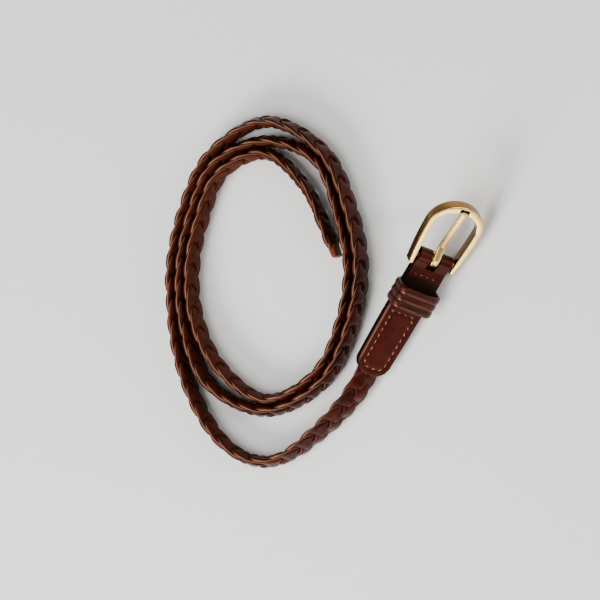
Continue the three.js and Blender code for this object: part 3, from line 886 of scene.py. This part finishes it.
# Stitches: short slanted strokes of thread along the sewn line
def stitchTree():
    tree, bench, entry, keys = newGeometryTree("stitchRow", [
        ("Pitch", "Float"), ("Length", "Float"), ("Radius", "Float"), ("Slant", "Float"),
        ("Seed", "Int"), ("Thread", "Material"),
    ])
    line = bench.add("GeometryNodeMeshToCurve", {}, {"Mesh": entry["Geometry"]})
    spots = bench.add("GeometryNodeCurveToPoints", {"mode": "LENGTH"},
                      {"Curve": line, "Length": entry["Pitch"]})
    ball = bench.add("GeometryNodeMeshUVSphere", {}, {"Segments": 8, "Rings": 6, "Radius": 1.0})
    scale = bench.add("ShaderNodeCombineXYZ", {}, {
        "X": entry["Length"] * 0.5, "Y": entry["Radius"],
        "Z": entry["Radius"] * stitchLine["flatness"]})
    stroke = bench.add("GeometryNodeTransform", {}, {"Geometry": ball, "Scale": scale})
    turn = bench.add("FunctionNodeAxesToRotation", {"primary_axis": "X", "secondary_axis": "Z"}, {
        "Primary Axis": spots.other("Tangent"),
        "Secondary Axis": named(bench, "front", "FLOAT_VECTOR")})
    # inputs 2 and 3 and output 1 are the random node's numbers, beside its vectors
    jitter = bench.add("FunctionNodeRandomValue", {"data_type": "FLOAT"}, {
        2: -stitchLine["jitter"], 3: stitchLine["jitter"], "Seed": entry["Seed"]}, output=1)
    slant = bench.add("ShaderNodeCombineXYZ", {}, {"Z": entry["Slant"] + jitter})
    slantTurn = bench.add("FunctionNodeEulerToRotation", {}, {"Euler": slant})
    turned = bench.add("FunctionNodeRotateRotation", {"rotation_space": "LOCAL"},
                       {"Rotation": turn, "Rotate By": slantTurn})
    placed = bench.add("GeometryNodeInstanceOnPoints", {},
                       {"Points": spots, "Instance": stroke, "Rotation": turned})
    endTree(tree, bench, placed, entry["Thread"])
    return tree, keys


def stitchRow(tree, keys, name, points, pitch, length):
    mesh = bpy.data.meshes.new(name)
    links = [(i, i + 1) for i in range(len(points) - 1)]
    mesh.from_pydata([toBuckle @ Vector(p) for p in points], links, [])
    layer = mesh.attributes.new("front", "FLOAT_VECTOR", "POINT")
    for item in layer.data:
        item.vector = buckleTurn.to_3x3() @ Vector((0, 0, 1))
    piece = addObject(name, mesh)
    runTree(piece, tree, keys, {
        "Pitch": pitch * mm, "Length": length * mm, "Radius": stitchLine["radius"] * mm,
        "Slant": stitchLine["slant"], "Seed": stitchLine["seed"], "Thread": thread})
    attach(piece, "strap")
    print(name, len(piece.data.polygons), "faces")


def makeStitches():
    line = stitchLine
    tree, keys = stitchTree()
    height = tabFace - tab["grooveDepth"]
    loop = [(x, y, height + tab["crown"] * (1 - (x / tabHalf(y)) ** 2)) for x, y in stitchCorners()]
    slotHeight = tabFace + line["slotRaise"]
    slotRow = [(line["slotShift"] + side * line["slotHalf"], line["slotRow"], slotHeight)
               for side in (-1, 0, 1)]
    stitchRow(tree, keys, "tabStitches", loop + loop[:1], line["pitch"], line["length"])
    stitchRow(tree, keys, "slotStitches", slotRow, line["slotPitch"], line["slotLength"])


makeStitches()


# Keeper: a leather loop with three ribs
keeper = {
    "near": -14.2, "length": 10.5, "ribs": 3, "wall": 1.3, "rib": 0.62, "halfAcross": 8.55,
    "low": -2.4, "high": 6.5, "corner": 2.3, "innerCorner": 0.5, "crown": 0.35, "lip": 0.25,
    "lipEdge": 0.05, "lipRise": 0.2, "ribSteps": 12, "ribPower": 0.55, "groove": (0.04, 0.2),
    "sideSteps": 8,
}


def keeperRing(y, grow):
    # once round the tab: four round corners with straight sides between them, the front one domed
    k = keeper
    outside = grow > 0.01
    corner = k["corner"] if outside else k["innerCorner"]
    radius = corner + grow
    middle = 0.5 * (k["high"] + k["low"])
    sideX = k["halfAcross"] - corner
    sideZ = 0.5 * (k["high"] - k["low"]) - corner
    centres = ((sideX, sideZ), (-sideX, sideZ), (-sideX, -sideZ), (sideX, -sideZ))
    steps = k["sideSteps"]

    def cornerPoint(quarter, share):
        angle = math.radians(90 * quarter + 90 * share)
        x, z = centres[quarter % 4]
        return x + radius * math.cos(angle), middle + z + radius * math.sin(angle)
    ring = []
    for quarter in range(4):
        ring += [cornerPoint(quarter, i / steps) for i in range(steps + 1)]
        start, end = ring[-1], cornerPoint(quarter + 1, 0)
        for i in range(1, steps):
            share = i / steps
            dome = k["crown"] * math.sin(math.pi * share) if quarter == 0 and outside else 0
            ring.append((lerp(start[0], end[0], share), lerp(start[1], end[1], share) + dome))
    return [(x, y, z) for x, z in ring]


def makeKeeper():
    k = keeper
    near, far = k["near"], k["near"] - k["length"]
    rib, steps = k["length"] / k["ribs"], k["ribSteps"]
    rows = [(near - k["lip"], 0.0), (far + k["lip"], 0.0),
            (far + k["lipEdge"], k["lipRise"]), (far, 0.5 * k["wall"])]
    grooves = [0.0] * len(rows)
    for i in reversed(range(k["ribs"])):
        for j in range(steps):
            share = (steps - 0.5 - j) / steps
            height = k["wall"] + k["rib"] * abs(math.sin(math.pi * share)) ** k["ribPower"]
            rows.append((near - rib * (i + share), height))
            grooves.append(1 - smoothStep(*k["groove"], min(share, 1 - share)))
    rows += [(near, 0.5 * k["wall"]), (near - k["lipEdge"], k["lipRise"])]
    grooves += [0.0, 0.0]
    rings = [keeperRing(y, grow) for y, grow in rows]
    piece = ringObject("keeperLoop", rings, keeperLeather, toBuckle, closed=True)
    # painted shade in the grooves between the ribs, in the keeper's edge colour
    setAttribute(piece, "rim", [depth for depth, ring in zip(grooves, rings) for _ in ring])
    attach(piece, "strap")
    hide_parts("keeper")


makeKeeper()
print("keeper made")


# Buckle frame and prong
casting = {
    "depth": 5.2, "innerHalf": 9.2, "armEnd": 3.9, "armBend": 0.45, "armSteps": 24, "arcCentre": 18.6,
    "outerRadius": 13.2, "arcWidth": 3.9, "arcRise": 12.2, "arcSteps": 64, "points": 40, "power": 0.24,
    "bar": 1.6, "barPoints": 32, "endSize": 0.8, "endRound": 0.25, "notchDepth": 1.2, "notchHalf": 2.3,
    "notchNear": 5.07, "notchFar": 1.122, "notchEase": 0.3, "notchTop": 9.0, "wallShade": 0.75,
    "pitch": 9.0, "skew": 3.8, "smoothAngle": 35,
}
toFrame = (toBuckle @ Matrix.Rotation(math.radians(casting["skew"]), 4, "Z")
           @ Matrix.Rotation(math.radians(casting["pitch"]), 4, "X"))


def frameOutline(arcRadius, rise, armHalf):
    # left arm's end up, over the arc and down to the right arm's end
    c = casting
    left = []
    for i in range(c["armSteps"]):
        t = i / c["armSteps"]
        low, bend, high = (1 - t) ** 2, 2 * t * (1 - t), t * t
        x = low * armHalf + bend * arcRadius + high * arcRadius
        y = -low * c["armEnd"] + bend * c["armBend"] * c["arcCentre"] + high * c["arcCentre"]
        left.append((-x, y))
    arc = []
    for i in range(c["arcSteps"] + 1):
        angle = math.pi * (1 - i / c["arcSteps"])
        arc.append((arcRadius * math.cos(angle), c["arcCentre"] + rise * math.sin(angle)))
    return left + arc + [(-x, y) for x, y in reversed(left)]


def frameRings():
    c = casting
    innerRadius = c["outerRadius"] - 0.75 * c["arcWidth"]
    inner = frameOutline(innerRadius, c["arcRise"] - c["arcWidth"], c["innerHalf"])
    outer = frameOutline(c["outerRadius"], c["arcRise"], c["innerHalf"] + 0.5 * c["arcWidth"])
    rings = []
    last = len(inner) - 1
    for i, (a, b) in enumerate(zip(inner, outer)):
        size = c["endSize"] if i in (0, last) else 1.0
        middle = (0.5 * (a[0] + b[0]), 0.5 * (a[1] + b[1]))
        reach = (0.5 * (b[0] - a[0]), 0.5 * (b[1] - a[1]))
        ring = []
        for j in range(c["points"]):
            angle = 2 * math.pi * j / c["points"]
            across, deep = boxy(angle, size, size * 0.5 * c["depth"], c["power"])
            ring.append((middle[0] + across * reach[0], middle[1] + across * reach[1], deep))
        rings.append(ring)
    for inside, place in ((rings[1], 1), (rings[last - 2], last + 1)):
        # one more ring by each arm's end keeps the end square with soft corners
        rings.insert(place, [(x, lerp(-c["armEnd"], y, c["endRound"]), z) for x, y, z in inside])
    return rings


def makeFrame():
    c = casting
    piece = ringObject("buckleFrame", frameRings(), gold)
    reach = c["innerHalf"] + 0.25 * c["arcWidth"]
    turns = [2 * math.pi * i / c["barPoints"] for i in range(c["barPoints"])]
    barRings = [[(x, c["bar"] * math.cos(turn), c["bar"] * math.sin(turn)) for turn in turns]
                for x in (-reach, reach)]
    bar = ringObject("bar", barRings, gold)
    far = c["arcCentre"] + c["arcRise"] - c["notchFar"]
    near = c["arcCentre"] + c["arcRise"] - c["notchNear"]
    top, floorZ = c["notchTop"], 0.5 * c["depth"] - c["notchDepth"]
    cutRings = []
    for y, size in ((near, 1), (far - c["notchEase"], 1), (far, 0.85)):
        half = size * c["notchHalf"]
        cutRings.append([(half, y, top), (-half, y, top), (-half, y, floorZ), (half, y, floorZ)])
    notch = ringObject("notch", cutRings, recessShade)
    for tool, operation in ((bar, "UNION"), (notch, "DIFFERENCE")):
        join = piece.modifiers.new(operation.lower(), "BOOLEAN")
        join.operation = operation
        join.object = tool
        join.solver = "EXACT"
        join.material_mode = "TRANSFER"
    bakeModifiers(piece)
    for tool in (bar, notch):
        bpy.data.objects.remove(tool)
    markWalls(piece)
    piece.data.transform(toFrame)
    smoothByAngle(piece, c["smoothAngle"])
    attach(piece, "frame")
    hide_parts("buckle_frame")


def markWalls(piece):
    # the faces that don't look to the front or the back, and those of them inside the window: a painted
    # darker reflection on the first, painted shade on the second
    middle = Vector((0, 0.6 * casting["arcCentre"], 0))
    walls, shades = [], []
    for face in piece.data.polygons:
        wall = 1 - smoothStep(0.25, 0.75, abs(face.normal.z))
        inside = smoothStep(0.0, 0.3, face.normal.dot((middle - face.center).normalized()))
        walls.append(wall)
        shades.append(casting["wallShade"] * wall * inside)
    for name, values in (("wall", walls), ("shade", shades)):
        layer = piece.data.attributes.new(name, "FLOAT", "FACE")
        layer.data.foreach_set("value", values)


def smoothByAngle(piece, degrees):
    bm = bmesh.new()
    bm.from_mesh(piece.data)
    for edge in bm.edges:
        edge.smooth = edge.calc_face_angle(0) < math.radians(degrees)
    for face in bm.faces:
        face.smooth = True
    bm.to_mesh(piece.data)
    bm.free()


makeFrame()
print("buckle frame made")

pin = {
    "width": 3.3, "thickness": 1.8, "eye": 2.8, "eyeStart": -40.0, "eyeEnd": -270.0, "eyeSteps": 40,
    "points": 24, "power": 0.55, "startSize": 0.7, "knotSteps": 8,
    # the pin's middle line from the eye to the notch: along the frame, and up from the bar
    "line": [(1.6, 2.72), (3.4, 2.2), (5.4, 1.5), (7.0, 1.1), (8.4, 1.02), (10.0, 1.15), (14.0, 1.5),
             (19.0, 1.93), (24.0, 2.36), (27.5, 2.55)],
    # the rounded tip: reach past the line, share of the size
    "tip": [(0.5, 0.97), (0.8, 0.88), (0.97, 0.68)],
    "shadeNear": 5.0, "shadeDeep": 9.0, "shadeFar": 22.0, "shade": 0.6,
}


def makePin():
    p = pin
    line = []
    for i in range(p["eyeSteps"] + 1):
        angle = math.radians(lerp(p["eyeStart"], p["eyeEnd"], i / p["eyeSteps"]))
        line.append((p["eye"] * math.cos(angle), p["eye"] * math.sin(angle)))
    knots = [Vector((y, z, 0)) for y, z in [line[-2], line[-1], *p["line"]]]
    for i in range(1, len(knots) - 1):
        for j in range(1, p["knotSteps"] + 1):
            point = curvePoint(knots, i + j / p["knotSteps"])[0]
            line.append((point.x, point.y))
    direction = Vector((line[-1][0] - line[-2][0], line[-1][1] - line[-2][1])).normalized()
    rows = [(line[0], p["startSize"])]
    rows += [(place, 1.0) for place in line[1:]]
    for reach, size in p["tip"]:
        rows.append(((line[-1][0] + reach * direction.x, line[-1][1] + reach * direction.y), size))
    rings = []
    for i, ((y, z), size) in enumerate(rows):
        before, after = rows[max(i - 1, 0)][0], rows[min(i + 1, len(rows) - 1)][0]
        run = Vector((after[0] - before[0], after[1] - before[1])).normalized()
        ring = []
        for j in range(p["points"]):
            angle = 2 * math.pi * j / p["points"]
            across, deep = boxy(angle, 0.5 * p["width"] * size, 0.5 * p["thickness"] * size, p["power"])
            ring.append((across, y - run.y * deep, z + run.x * deep))
        rings.append(ring)
    shades = []
    for ring in rings:
        for _, y, _ in ring:
            rising = smoothStep(p["shadeNear"], p["shadeDeep"], y)
            shades.append(p["shade"] * (rising * smoothStep(p["shadeFar"], p["shadeDeep"], y)))
    piece = ringObject("prongPin", rings, prongMetal, toFrame)
    setAttribute(piece, "shade", shades)
    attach(piece, "prong")
    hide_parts("prong")


makePin()
print("prong made")


# Studio: pale floor, soft light
studio = {
    "floor": paint(244, 243, 240), "floorLight": paint(248, 247, 245), "floorHalf": 3.0,
    "worldStrength": 0.4,
    "lights": [
        # name, place, what it looks at, size, power
        ("keySoft", (-0.55, -0.95, 0.6), (0, 0, 0), (0.6, 0.5), 22),
        ("topSoft", (-0.3, -0.3, 1.35), (0, 0, 0), (0.9, 0.9), 13),
        ("rimSoft", (1.1, 0.1, 0.5), (0, 0, 0), (0.16, 0.8), 7),
        ("lowSoft", (0.36, -0.98, 0.12), (0.06, 0.02, 0.01), (0.3, 0.24), 1.5),
    ],
}


def areaLight(name, place, target, size, power):
    lamp = bpy.data.lights.new(name, "AREA")
    lamp.shape = "RECTANGLE"
    lamp.size, lamp.size_y = size
    lamp.energy = power
    made = addObject(name, lamp)
    towards = Vector(target) - Vector(place)
    turn = towards.to_track_quat("-Z", "Y").to_matrix().to_4x4()
    made.matrix_world = Matrix.Translation(Vector(place)) @ turn


def makeStudio():
    material, bench, shader = newMaterial("paleFloor", {"Roughness": 0.9})
    place = bench.add("ShaderNodeTexCoord", output="Object")
    speck = noise(bench, place, 4.0)
    connect(bench, bench.mixColour(speck, studio["floor"], studio["floorLight"]), shader, "Base Color")
    far = studio["floorHalf"]
    corners = [(-far, -far, 0), (far, -far, 0), (far, far, 0), (-far, far, 0)]
    floor = meshObject("floor", corners, [(0, 1, 2, 3)], material, False)
    world = bpy.data.worlds.new("softRoom")
    world.use_nodes = True
    background = world.node_tree.nodes["Background"]
    background.inputs["Color"].default_value = (1, 1, 1, 1)
    background.inputs["Strength"].default_value = studio["worldStrength"]
    bpy.context.scene.world = world
    for light in studio["lights"]:
        areaLight(*light)


makeStudio()
